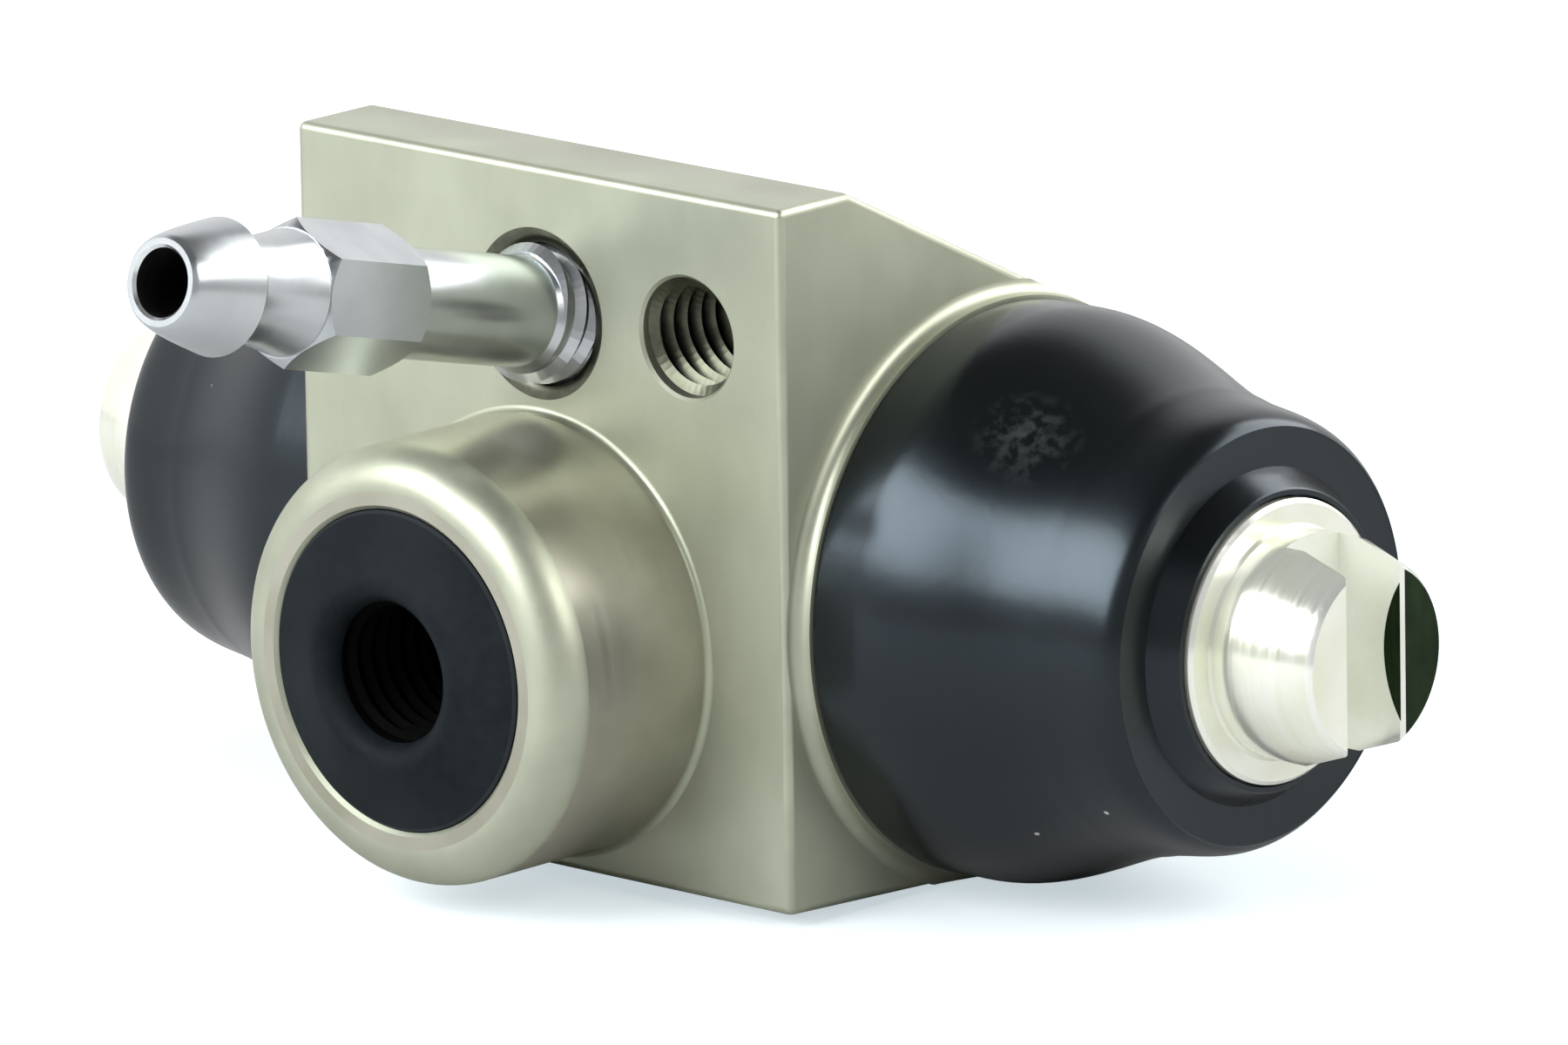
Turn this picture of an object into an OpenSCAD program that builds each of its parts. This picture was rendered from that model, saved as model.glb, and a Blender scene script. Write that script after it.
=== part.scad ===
// Drum brake wheel cylinder: a steel body with a through bore, two opposed
// pistons behind rubber cups, cup expanders and a return spring between them,
// a dust boot at each end, a bleed screw and a plug in the inlet.
// Origin on the axis of the locating boss, in the plane of the mounting face.
// +X runs along the bore, -Y out of the mounting face, +Z up to the bleed screw.

/* [Body] */
// Diameter of the through bore
bore_d = 19.05; // [17:0.05:20.6]
// Wall around the bore at the round back
body_wall = 5; // [4:0.1:6]
// Length of the block along the bore
block_len = 32.4; // [28:0.2:40]
// Distance from the mounting face to the bore axis
bore_setback = 15.2; // [14.8:0.1:17]
// Height of the bore axis above the boss axis
bore_rise = 2; // [1:0.1:3]
// Height of the top of the block above the boss axis
block_top = 23.4; // [22.5:0.1:28]
// Depth of the front lower edge below the boss axis
block_drop = 11.85; // [11.2:0.05:12.2]
// Depth of the flat on the top of the block
top_depth = 5; // [4:0.1:7]

/* [Boot seats] */
// Length of the turned collar at each end of the block
collar_len = 0.8; // [0.4:0.1:2]
// Step from the round back down to the collar
collar_step = 0.1; // [0.05:0.05:0.4]
// Radius of the fillet between collar and end face
collar_fillet = 0.7; // [0.3:0.1:0.8]
// Length of the spigot outside the collar
spigot_len = 3.6; // [3:0.1:5]
// Wall of the spigot around the bore
spigot_wall = 2.9; // [2.4:0.1:3.2]
// Depth of the groove that holds the boot
groove_depth = 0.7; // [0.4:0.1:1]
// Width of that groove
groove_w = 1.4; // [0.8:0.1:1.8]

/* [Boss and inlet] */
// Diameter of the locating boss
boss_d = 22; // [20:0.1:22.2]
// Height of the boss from the mounting face
boss_h = 10.6; // [8:0.1:14]
// Rounding at the end of the boss
boss_round = 2.1; // [1:0.1:2.4]
// Thread diameter of the inlet
inlet_d = 10; // [8:0.5:11]
// Depth of the inlet thread from the end of the boss
inlet_depth = 12.5; // [11:0.5:14]
// Diameter of the passages to the bore
passage_d = 2.6; // [1.6:0.1:3]

/* [Inlet plug] */
// Diameter of the flange of the plug
plug_flange_d = 16; // [13:0.1:16.4]
// Thickness of that flange
plug_flange_t = 1.3; // [0.8:0.1:2]
// Length of the plug below its flange
plug_len = 7.5; // [5:0.5:9]
// Diameter of the blind hole in the plug
plug_hole_d = 7; // [5:0.1:8]
// Diameter of the hole's flared mouth
plug_mouth_d = 8.8; // [8.2:0.1:9.4]
// Rise of the plug's end from its edge to that mouth
plug_rise = 1; // [0.4:0.1:1.4]
// Floor of that hole
plug_floor = 1; // [0.6:0.1:2]

/* [Bolt hole] */
// Thread diameter of the bolt hole
bolt_d = 6; // [5:0.5:7]
// Distance of the hole from the middle of the block
bolt_x = 9.9; // [9:0.1:12]
// Height of the hole above the boss axis
bolt_z = 16.2; // [15.6:0.1:17]
// Depth of the thread
bolt_depth = 10.5; // [8:0.5:11]

/* [Bleed screw] */
// Upward tilt of the bleed screw
bleed_tilt = 13.5; // [12:0.5:15]
// Height at which its axis meets the mounting face
bleed_z = 16; // [15.6:0.1:17]
// Thread diameter of the bleed screw
bleed_d = 7; // [6:0.5:7.5]
// Depth of its thread in the block
bleed_depth = 8; // [6:0.5:9]
// Diameter of the countersink at the mouth of its port
bleed_mouth_d = 8.6; // [8:0.1:9.4]
// Length of thread that stands out of the block
bleed_thread_out = 1.2; // [1:0.1:4]
// Depth of that thread
bleed_thread_h = 0.5; // [0.4:0.05:0.6]
// Diameter of the plain shank
shank_d = 5.5; // [5:0.1:5.8]
// Length of the plain shank
shank_len = 10; // [6:0.1:12]
// Width across the flats of the hexagon
hex_af = 6.4; // [6.2:0.1:9]
// Length of the hexagon
hex_len = 7.1; // [5:0.1:9]
// Diameter of the neck behind the hose barb
neck_d = 5.3; // [4.8:0.1:5.6]
// Length of the taper from the hexagon to the neck
neck_taper = 2.2; // [1:0.1:2.6]
// Length from the hexagon to the barb, with the taper
neck_len = 3.9; // [3:0.1:5]
// Largest diameter of the hose barb
barb_d = 6.8; // [6:0.1:7.4]
// Length of the hose barb
barb_len = 4.8; // [4.4:0.1:7]
// Diameter of the tip of the barb
barb_tip_d = 4.4; // [4.2:0.1:5]
// Diameter of the hole along the screw
bleed_hole_d = 3.4; // [2.4:0.1:3.6]

/* [Pistons] */
// Length of the sliding head
head_len = 9; // [8:0.1:10]
// Distance from the middle of the bore to the inner end of the head
head_start = 11; // [10.5:0.1:11.5]
// Diameter of the stem under the boot
stem_d = 12.4; // [11:0.1:13]
// Diameter of the flange outside the boot
flange_d = 14.1; // [13.4:0.1:15]
// Thickness of that flange
flange_t = 1.2; // [0.8:0.1:2]
// Distance from the middle of the bore to the outer face of the flange
flange_x = 35.2; // [34:0.1:37]
// Diameter of the tip at its base
tip_d = 11.4; // [10.4:0.1:12]
// Diameter of the tip at its end
tip_end_d = 9.6; // [8:0.1:10]
// Length of the tip
tip_len = 5.7; // [4.6:0.1:7]
// Width of the slot for the web of the brake shoe
slot_w = 3.9; // [3:0.1:5]
// Depth of that slot
slot_depth = 4; // [2:0.1:4.4]

/* [Seals and spring] */
// Length of the cup seal along the bore
cup_len = 5; // [4:0.1:6]
// Thickness of the floor of the cup
cup_floor = 2; // [1.4:0.1:2.4]
// Thickness of the sheet of the expander
expander_t = 0.8; // [0.5:0.1:1]
// Mean diameter of the return spring
spring_d = 7; // [6:0.1:8]
// Wire of the return spring
spring_wire = 1; // [0.7:0.1:1.2]
// Turns of the return spring
spring_turns = 5.5; // [4:0.5:7]

/* [Boots] */
// Thickness of the rubber
boot_wall = 1.7; // [1.2:0.1:1.9]
// Step from the collar down to the base of the boot
boot_step = 0.15; // [0.1:0.05:0.5]
// Length of the cylindrical base of the boot
boot_base_len = 2.6; // [2:0.1:4]
// Diameter where the dome runs into the bead
bead_d = 23.1; // [22:0.1:24]
// Length of the bead from there to its end
bead_len = 5.8; // [5:0.1:7]
// Diameter at the edge of the end face of the bead
bead_end_d = 20.7; // [19:0.1:22]
// Height of the piston flange above the end of the bead
flange_reveal = 0.4; // [0.2:0.1:0.8]

/* [Clearances] */
// Radial clearance of pistons and cups in the bore
bore_fit = 0.05; // [0.03:0.01:0.08]
// Clearance between seated pieces
seat_fit = 0.05; // [0.03:0.01:0.1]
// Clearance of the boot lip around the stem
lip_fit = 0.15; // [0.1:0.05:0.3]

/* [Hidden] */
$fn = 96;
// Length by which a cut runs out of the solid that it cuts
cut = 1;
bore_r = bore_d / 2;
body_r = bore_r + body_wall;
bore_c = [bore_setback, bore_rise];
half = block_len / 2;
collar_x = half + collar_len;
collar_r = body_r - collar_step;
spigot_x = collar_x + spigot_len;
spigot_r = bore_r + spigot_wall;
groove_r = spigot_r - groove_depth;
groove_x = collar_x + (spigot_len - groove_w) / 2;
boss_r = boss_d / 2;
inlet_r = inlet_d / 2;
passage_r = passage_d / 2;
recess_r = plug_flange_d / 2 + seat_fit;
recess_depth = plug_flange_t + seat_fit;
bolt_r = bolt_d / 2;
bleed_r = bleed_d / 2;
bleed_root_r = bleed_r - bleed_thread_h;
bleed_passage = (bore_setback + passage_d) / cos(bleed_tilt);
port_gap = 2 * seat_fit;
shank_end = bleed_thread_out + shank_len;
hex_end = shank_end + hex_len;
neck_end = hex_end + neck_len;
barb_end = neck_end + barb_len;
slide_r = bore_r - bore_fit;
flange_back = flange_x - flange_t;
tip_end = flange_x + tip_len;
cup_back = head_start - seat_fit;
cup_face = cup_back - cup_floor;
cup_mouth = cup_back - cup_len;
cup_lip = cup_floor / 2;
expander_back = cup_face - seat_fit;
spring_end = expander_back - expander_t - seat_fit;
stem_r = stem_d / 2;
lip_r = stem_r + lip_fit;
boot_r = collar_r - boot_step;
boot_start = collar_x + seat_fit;

// Point where a line from p touches a circle, on the side given by turn
function tangent_point(p, c, r, turn) =
  let (d = p - c, a = atan2(d[1], d[0]) + turn * acos(r / norm(d)))
  c + r * [cos(a), sin(a)];

// Points of a smooth curve between two ends with two handles
function curve(a, b, c, d, n = 8) = [
  for (i = [0 : n])
    let (t = i / n, u = 1 - t)
    u * u * u * a + 3 * u * u * t * b + 3 * u * t * t * c + t * t * t * d
];

// Points of an arc around c
function arc(c, r, from, to, n = 8) = [
  for (i = [0 : n]) let (a = from + (to - from) * i / n) c + r * [cos(a), sin(a)]
];

// Turns a profile of [distance along the bore, radius] around the bore axis
module turned(points) {
  translate([0, bore_setback, bore_rise])
    rotate([0, 90, 0])
      rotate_extrude()
        polygon([for (p = points) [p[1], p[0]]]);
}

// Frame of the bleed screw: local +Z points outwards along its axis
module on_bleed_axis() {
  translate([0, 0, bleed_z]) rotate([90 - bleed_tilt, 0, 0]) children();
}

// Frame of a feature of the mounting face: local +Z points out of the face
module on_face(x, z) {
  translate([x, 0, z]) rotate([90, 0, 0]) children();
}

// Section of the block across the bore
module block_outline() {
  front_low = [0, -block_drop];
  top_back = [top_depth, block_top];
  polygon([
    front_low, tangent_point(front_low, bore_c, body_r, 1),
    tangent_point(top_back, bore_c, body_r, -1), top_back, [0, block_top]
  ]);
  translate(bore_c) circle(body_r);
}

module block(len) {
  rotate([90, 0, 90]) linear_extrude(len, center = true) block_outline();
}

// Turned collar at each end of the block, with a fillet to the end face
module collars() {
  flare_r = collar_r + collar_fillet;
  intersection() {
    block(2 * collar_x);
    for (side = [0, 1])
      mirror([side, 0, 0])
        turned(concat(
          [[0, 0], [0, flare_r]],
          arc([half + collar_fillet, flare_r], collar_fillet, 180, 270),
          [[collar_x, collar_r], [collar_x, 0]]
        ));
  }
}

// Round-ended boss on the mounting face
module boss() {
  on_face(0, 0)
    rotate_extrude()
      polygon(concat(
        [[0, -cut], [boss_r, -cut]],
        arc([boss_r - boss_round, boss_h - boss_round], boss_round, 0, 90),
        [[0, boss_h]]
      ));
}

module spigots() {
  turned([[-spigot_x, 0], [-spigot_x, spigot_r], [spigot_x, spigot_r], [spigot_x, 0]]);
}

module boot_grooves() {
  for (side = [0, 1])
    mirror([side, 0, 0])
      turned([
        [groove_x, groove_r], [groove_x, spigot_r + cut],
        [groove_x + groove_w, spigot_r + cut], [groove_x + groove_w, groove_r]
      ]);
}

// Inlet: recess for the flange, thread, drill point and passage to the bore
module inlet_port() {
  bottom = boss_h - inlet_depth;
  on_face(0, 0) {
    translate([0, 0, boss_h - recess_depth]) cylinder(h = recess_depth + cut, r = recess_r);
    translate([0, 0, bottom]) cylinder(h = inlet_depth, r = inlet_r);
    translate([0, 0, bottom - inlet_r / 2]) cylinder(h = inlet_r / 2, r1 = 0, r2 = inlet_r);
    translate([0, 0, -bore_setback]) cylinder(h = bore_setback, r = passage_r);
  }
}

// Bleed port: thread, 45 degree seat and passage to the top of the bore
module bleed_port() {
  on_bleed_axis() {
    translate([0, 0, -bleed_depth]) cylinder(h = bleed_depth + bleed_d, r = bleed_r);
    translate([0, 0, -bleed_depth - bleed_r])
      cylinder(h = bleed_r, r1 = 0, r2 = bleed_r);
    translate([0, 0, -bleed_passage]) cylinder(h = bleed_passage, r = passage_r);
  }
}

// Countersink square to the mounting face, where the bleed screw leaves the block
module bleed_mouth() {
  mouth_r = bleed_mouth_d / 2;
  on_face(0, bleed_z)
    translate([0, 0, -mouth_r / 2])
      cylinder(h = mouth_r / 2 + cut, r1 = 0, r2 = mouth_r + 2 * cut);
}

module bolt_hole() {
  point = bolt_r * tan(30);
  on_face(bolt_x, bolt_z) {
    translate([0, 0, -bolt_depth]) cylinder(h = bolt_depth + cut, r = bolt_r);
    translate([0, 0, -bolt_depth - point]) cylinder(h = point, r1 = 0, r2 = bolt_r);
  }
}

module cylinder_body() {
  color([0.66, 0.69, 0.62])
    difference() {
      union() {
        block(block_len);
        collars();
        spigots();
        boss();
      }
      turned([
        [-spigot_x - cut, 0], [-spigot_x - cut, bore_r],
        [spigot_x + cut, bore_r], [spigot_x + cut, 0]
      ]);
      boot_grooves();
      inlet_port();
      bleed_port();
      bleed_mouth();
      bolt_hole();
    }
}

// Piston at the right end: head, stem, flange and slotted tip
module piston() {
  color([0.85, 0.86, 0.8])
    difference() {
      turned([
        [head_start, 0], [head_start, slide_r], [head_start + head_len, slide_r],
        [head_start + head_len, stem_r], [flange_back, stem_r],
        [flange_back, flange_d / 2], [flange_x, flange_d / 2],
        [flange_x, tip_d / 2], [flange_x + tip_len / 2, tip_d / 2],
        [tip_end, tip_end_d / 2], [tip_end, 0]
      ]);
      translate([tip_end - slot_depth, bore_setback - slot_w / 2, bore_rise - tip_d])
        cube([slot_depth + cut, slot_w, 2 * tip_d]);
    }
}

// Cup at the right end, with its lip towards the middle of the bore
module cup_seal() {
  color([0.1, 0.1, 0.1])
    turned([
      [cup_back, 0], [cup_back, slide_r], [cup_mouth, slide_r],
      [cup_mouth, slide_r - cup_lip], [cup_face, slide_r - 2 * cup_lip], [cup_face, 0]
    ]);
}

// Pressed steel expander inside the cup, which also seats the spring
module cup_expander() {
  seat_r = spring_d / 2 + spring_wire;
  rim_r = slide_r - 2 * cup_lip - seat_fit;
  rise = cup_len - cup_floor - 2 * expander_t;
  color([0.7, 0.7, 0.68])
    turned([
      [expander_back, 0], [expander_back, seat_r], [expander_back - rise, rim_r],
      [expander_back - rise - expander_t, rim_r], [expander_back - expander_t, seat_r],
      [expander_back - expander_t, 0]
    ]);
}

// Coil spring swept along the bore as one closed tube
module return_spring() {
  sides = 8;
  steps = 20;
  rings = ceil(spring_turns * steps);
  coil_r = spring_d / 2;
  wire_r = spring_wire / 2;
  run = 2 * (spring_end - wire_r);
  points = [
    for (i = [0 : rings])
      let (a = 360 * spring_turns * i / rings, x = -run / 2 + run * i / rings)
      for (j = [0 : sides - 1])
        let (b = 360 * j / sides, r = coil_r + wire_r * cos(b))
        [x + wire_r * sin(b), bore_setback + r * cos(a), bore_rise + r * sin(a)]
  ];
  walls = [
    for (i = [0 : rings - 1])
      for (j = [0 : sides - 1])
        let (k = (j + 1) % sides, p = i * sides, q = (i + 1) * sides)
        for (face = [[p + j, q + k, p + k], [p + j, q + j, q + k]]) face
  ];
  ends = [
    [for (j = [0 : sides - 1]) j],
    [for (j = [sides - 1 : -1 : 0]) rings * sides + j]
  ];
  color([0.45, 0.45, 0.45]) polyhedron(points, concat(walls, ends));
}

// Dust boot at the right end: base on the spigot, domed wall, bead and lip
module boot() {
  base = [boot_start + boot_base_len, boot_r];
  lip_t = 0.3;
  lip_rise = bead_len / 4.5;
  end = [flange_x - flange_reveal, flange_d / 2 + lip_fit];
  bead = [end[0] - bead_len, bead_d / 2];
  third = (bead[0] - base[0]) / 3;
  fall = third / 6;
  edge = [end[0] - lip_rise, bead_end_d / 2];
  edge_handle = [-0.7, 0.9];
  ring = [edge[0] - lip_t / 3, end[1] + bead_len / 5];
  lip = [flange_back - seat_fit, lip_r];
  hollow_r = bead[1] - boot_wall;
  shoulder_r = base[1] - boot_wall;
  grip_r = spigot_r + seat_fit;
  rib_r = groove_r + seat_fit;
  rib = [groove_x + seat_fit, groove_x + groove_w - seat_fit];
  // Outside, from the base over the dome and the bead to the end face
  outside = concat(
    [[boot_start, boot_r]],
    curve(base, base + [third, 0], bead + [-third, fall], bead, 14),
    curve(bead, bead + [bead_len / 3, -fall], edge + edge_handle, edge),
    [ring, end + [0, lip_t], end]
  );
  // Inside, from the lip back along the wall to the grip on the spigot
  inside = concat(
    [[lip[0], end[1]], lip, lip - [boot_wall, 0]],
    [[lip[0] - boot_wall, hollow_r - boot_wall], [lip[0] - 2 * boot_wall, hollow_r]],
    curve(
      [bead[0], hollow_r], [bead[0] - third, hollow_r + fall],
      [base[0] + third, shoulder_r], [spigot_x + boot_wall / 2, shoulder_r]
    ),
    [
      [spigot_x, grip_r], [rib[1], grip_r], [rib[1], rib_r],
      [rib[0], rib_r], [rib[0], grip_r], [boot_start, grip_r]
    ]
  );
  color([0.08, 0.08, 0.09]) turned(concat(outside, inside));
}

// Bleed screw along its own axis: seat cone, thread core, shank, hexagon and barb
module bleed_screw() {
  cone_top = -bleed_depth - (bleed_r - bleed_root_r) + port_gap;
  cone_low = cone_top - (bleed_root_r - passage_r);
  hole_low = cone_top + bleed_hole_d;
  hole_r = bleed_hole_d / 2;
  hex_r = hex_af / sqrt(3);
  hex_end_r = hex_af / 2 - seat_fit;
  bevel = hex_r - hex_end_r;
  runout = 0.8 * bleed_thread_h;
  barb_rise = 0.9;
  barb = [barb_d / 2, neck_end + barb_rise];
  barb_handle = [-barb_rise / 4, barb_rise];
  tip = [barb_tip_d / 2, barb_end];
  tip_handle = [0.5, -barb_rise];
  color([0.72, 0.74, 0.74])
    on_bleed_axis()
      difference() {
        union() {
          rotate_extrude()
            polygon([
              [0, cone_low], [passage_r, cone_low], [bleed_root_r, cone_top],
              [bleed_root_r, bleed_thread_out], [shank_d / 2, bleed_thread_out + runout],
              [shank_d / 2, hex_end - bevel], [hex_end_r - seat_fit, hex_end],
              [neck_d / 2, hex_end + neck_taper], [neck_d / 2, neck_end],
              each curve(barb, barb + barb_handle, tip + tip_handle, tip),
              [0, barb_end]
            ]);
          intersection() {
            translate([0, 0, shank_end]) rotate(30) cylinder(h = hex_len, r = hex_r, $fn = 6);
            rotate_extrude()
              polygon([
                [0, shank_end], [hex_end_r, shank_end], [hex_r, shank_end + bevel],
                [hex_r, hex_end - bevel], [hex_end_r, hex_end], [0, hex_end]
              ]);
          }
        }
        translate([0, 0, hole_low]) cylinder(h = barb_end - hole_low + cut, r = hole_r);
        translate([0, 0, hole_low])
          rotate([0, 90, 0]) cylinder(h = bleed_d, r = hole_r * 0.7, center = true);
      }
}

// Moulded plug pressed into the inlet, its edge flush with the end of the boss
module inlet_plug() {
  flange_r = plug_flange_d / 2;
  hole_r = plug_hole_d / 2;
  mouth_r = plug_mouth_d / 2;
  brim = 0.3;
  shank_r = inlet_r - 2 * seat_fit;
  low = boss_h - plug_flange_t - plug_len;
  color([0.13, 0.14, 0.15])
    on_face(0, 0)
      difference() {
        union() {
          translate([0, 0, boss_h - plug_flange_t]) cylinder(h = plug_flange_t, r = flange_r);
          translate([0, 0, low]) cylinder(h = plug_len + plug_flange_t / 2, r = shank_r);
          translate([0, 0, boss_h]) cylinder(h = plug_rise, r1 = flange_r, r2 = mouth_r + brim);
        }
        translate([0, 0, low + plug_floor])
          cylinder(h = plug_len + plug_flange_t + plug_rise, r = hole_r);
        translate([0, 0, boss_h + plug_rise - (mouth_r - hole_r)])
          cylinder(h = mouth_r - hole_r + cut, r1 = hole_r, r2 = mouth_r + cut);
      }
}

cylinder_body();
mirror([1, 0, 0]) piston();  // left_piston
piston();  // right_piston
mirror([1, 0, 0]) cup_seal();  // left_cup_seal
cup_seal();  // right_cup_seal
mirror([1, 0, 0]) cup_expander();  // left_cup_expander
cup_expander();  // right_cup_expander
return_spring();
mirror([1, 0, 0]) boot();  // left_boot
boot();  // right_boot
bleed_screw();
inlet_plug();
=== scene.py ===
import math
import bmesh
import bpy
from mathutils import Matrix, Vector


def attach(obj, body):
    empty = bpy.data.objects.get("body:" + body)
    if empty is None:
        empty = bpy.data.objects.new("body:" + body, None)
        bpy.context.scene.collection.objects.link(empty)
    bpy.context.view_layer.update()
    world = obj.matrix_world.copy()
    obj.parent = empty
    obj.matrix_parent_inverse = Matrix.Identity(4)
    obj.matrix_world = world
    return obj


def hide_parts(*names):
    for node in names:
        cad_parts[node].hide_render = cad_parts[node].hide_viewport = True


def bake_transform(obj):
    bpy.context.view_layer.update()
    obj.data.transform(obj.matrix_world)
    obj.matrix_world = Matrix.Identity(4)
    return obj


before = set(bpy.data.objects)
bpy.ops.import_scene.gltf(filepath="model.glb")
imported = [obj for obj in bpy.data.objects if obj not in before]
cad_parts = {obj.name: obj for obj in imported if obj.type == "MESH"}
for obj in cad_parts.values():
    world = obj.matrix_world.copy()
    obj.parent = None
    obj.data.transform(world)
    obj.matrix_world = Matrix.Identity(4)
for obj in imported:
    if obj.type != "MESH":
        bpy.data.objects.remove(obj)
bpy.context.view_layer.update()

MM = 0.001
BORE_Y, BORE_Z = 15.2, 2.0
BORE_PLACE = Matrix.Translation((0, BORE_Y * MM, BORE_Z * MM))
BORE_AXIS = BORE_PLACE @ Matrix.Rotation(math.radians(90), 4, "Y")
BOSS_AXIS = Matrix.Rotation(math.radians(90), 4, "X")
BLEED_PLACE = Matrix.Translation((0, 0, 16 * MM))
BLEED_AXIS = BLEED_PLACE @ Matrix.Rotation(math.radians(76.5), 4, "X")
BOLT_AXIS = Matrix.Translation((9.9 * MM, 0, 16.2 * MM)) @ BOSS_AXIS
# Slots of the finishes. The second is for the bright edges of every piece.
BRIGHT, THIRD = 1, 2
# The fourth slot is a near-black painted shade for the walls of holes, the fifth a dark painted shade
# for threads and the bleed port's mouth
TURNED, HOLE_SHADE, THREAD_SHADE = THIRD, 3, 4
# Sockets of a Mix node for its two colours and for the result
COLOUR_A, COLOUR_B, COLOUR_OUT = 6, 7, 2


def new_group(name, inputs, outputs):
    """A shader node group with named sockets, each input with its default."""
    group = bpy.data.node_groups.new(name, "ShaderNodeTree")
    for label, kind, value in inputs:
        socket = group.interface.new_socket(label, in_out="INPUT", socket_type=kind)
        socket.default_value = value
    for label, kind in outputs:
        group.interface.new_socket(label, in_out="OUTPUT", socket_type=kind)
    return group, group.nodes.new("NodeGroupInput"), group.nodes.new("NodeGroupOutput")


# Grain that all finishes share: fine marks of a given size and direction, and slow clouds
surface_grain, wanted, given = new_group(
    "surface_grain",
    [
        ("Mark Size", "NodeSocketVector", (0.001, 0.001, 0.001)),
        ("Turn", "NodeSocketVector", (0, 0, 0)),
        ("Cloud Size", "NodeSocketVector", (0.01, 0.01, 0.01)),
    ],
    [("Marks", "NodeSocketFloat"), ("Clouds", "NodeSocketFloat")],
)
place = surface_grain.nodes.new("ShaderNodeTexCoord")
for size, marks, detail in (("Mark Size", "Marks", 3), ("Cloud Size", "Clouds", 4)):
    spread = surface_grain.nodes.new("ShaderNodeMapping")
    spread.vector_type = "TEXTURE"
    noise = surface_grain.nodes.new("ShaderNodeTexNoise")
    noise.inputs["Scale"].default_value = 1
    noise.inputs["Detail"].default_value = detail
    surface_grain.links.new(place.outputs["Object"], spread.inputs["Vector"])
    surface_grain.links.new(wanted.outputs[size], spread.inputs["Scale"])
    surface_grain.links.new(wanted.outputs["Turn"], spread.inputs["Rotation"])
    surface_grain.links.new(spread.outputs["Vector"], noise.inputs["Vector"])
    surface_grain.links.new(noise.outputs["Fac"], given.inputs[marks])


def grained(name, light, dark, metallic, roughness, marks, clouds, depth, turn=0, streaks=0.4):
    """A finish with two tones that follow the clouds and the marks, a range of roughness that
    follows the marks, and a shallow bump. Sizes are in mm, the turn in degrees round X."""
    material = bpy.data.materials.new(name)
    material.use_nodes = True
    nodes, links = material.node_tree.nodes, material.node_tree.links
    shader = nodes["Principled BSDF"]
    shader.inputs["Metallic"].default_value = metallic
    grain = nodes.new("ShaderNodeGroup")
    grain.node_tree = surface_grain
    grain.inputs["Mark Size"].default_value = [size * MM for size in marks]
    grain.inputs["Turn"].default_value = (math.radians(turn), 0, 0)
    grain.inputs["Cloud Size"].default_value = [size * MM for size in clouds]
    both = nodes.new("ShaderNodeMath")
    both.operation = "MULTIPLY_ADD"
    both.inputs[1].default_value = streaks
    spread = nodes.new("ShaderNodeMapRange")
    spread.inputs["From Min"].default_value = 0.35 + 0.4 * streaks
    spread.inputs["From Max"].default_value = 0.65 + 0.6 * streaks
    tone = nodes.new("ShaderNodeMix")
    tone.data_type = "RGBA"
    tone.inputs[COLOUR_A].default_value = (*dark, 1)
    tone.inputs[COLOUR_B].default_value = (*light, 1)
    gloss = nodes.new("ShaderNodeMapRange")
    gloss.inputs["From Min"].default_value = 0.3
    gloss.inputs["From Max"].default_value = 0.7
    gloss.inputs["To Min"].default_value = roughness[0]
    gloss.inputs["To Max"].default_value = roughness[1]
    bump = nodes.new("ShaderNodeBump")
    bump.inputs["Strength"].default_value = 0.5
    bump.inputs["Distance"].default_value = depth * MM
    links.new(grain.outputs["Marks"], both.inputs[0])
    links.new(grain.outputs["Clouds"], both.inputs[2])
    links.new(both.outputs["Value"], spread.inputs["Value"])
    links.new(spread.outputs["Result"], tone.inputs[0])
    links.new(tone.outputs[COLOUR_OUT], shader.inputs["Base Color"])
    links.new(grain.outputs["Marks"], gloss.inputs["Value"])
    links.new(gloss.outputs["Result"], shader.inputs["Roughness"])
    links.new(grain.outputs["Marks"], bump.inputs["Height"])
    links.new(bump.outputs["Normal"], shader.inputs["Normal"])
    return material


plated_steel = grained(
    "plated_steel", light=(0.5, 0.525, 0.41), dark=(0.39, 0.41, 0.315), metallic=0.6,
    roughness=(0.37, 0.41), marks=(0.3, 0.3, 4), clouds=(9, 9, 12), depth=0.002, streaks=0.06,
)
plated_edge = grained(
    "plated_edge", light=(0.5, 0.52, 0.41), dark=(0.43, 0.45, 0.35), metallic=0.8,
    roughness=(0.4, 0.46), marks=(0.3, 0.3, 0.3), clouds=(4, 4, 4), depth=0.002, streaks=0.1,
)
plated_turned = grained(
    "plated_turned", light=(0.48, 0.47, 0.39), dark=(0.37, 0.36, 0.285), metallic=0.75,
    roughness=(0.31, 0.36), marks=(6, 0.3, 6), clouds=(6, 7, 6), depth=0.002, streaks=0.06,
)
# Painted shade: a near-black colour for the walls of the bore, the inlet, the bolt hole and the bleed
# port
hole_painted_shade = grained(
    "hole_painted_shade", light=(0.02, 0.021, 0.015), dark=(0.008, 0.009, 0.006), metallic=0.3,
    roughness=(0.5, 0.6), marks=(0.5, 0.5, 0.5), clouds=(4, 4, 4), depth=0.01,
)
# Painted shade: a dark plated steel for the thread of the bolt hole and the mouth round the bleed screw
thread_painted_shade = grained(
    "thread_painted_shade", light=(0.15, 0.155, 0.115), dark=(0.08, 0.085, 0.06), metallic=0.95,
    roughness=(0.28, 0.36), marks=(0.4, 0.4, 0.4), clouds=(2, 2, 2), depth=0.004,
)
body_finishes = (plated_steel, plated_edge, plated_turned, hole_painted_shade, thread_painted_shade)


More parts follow.
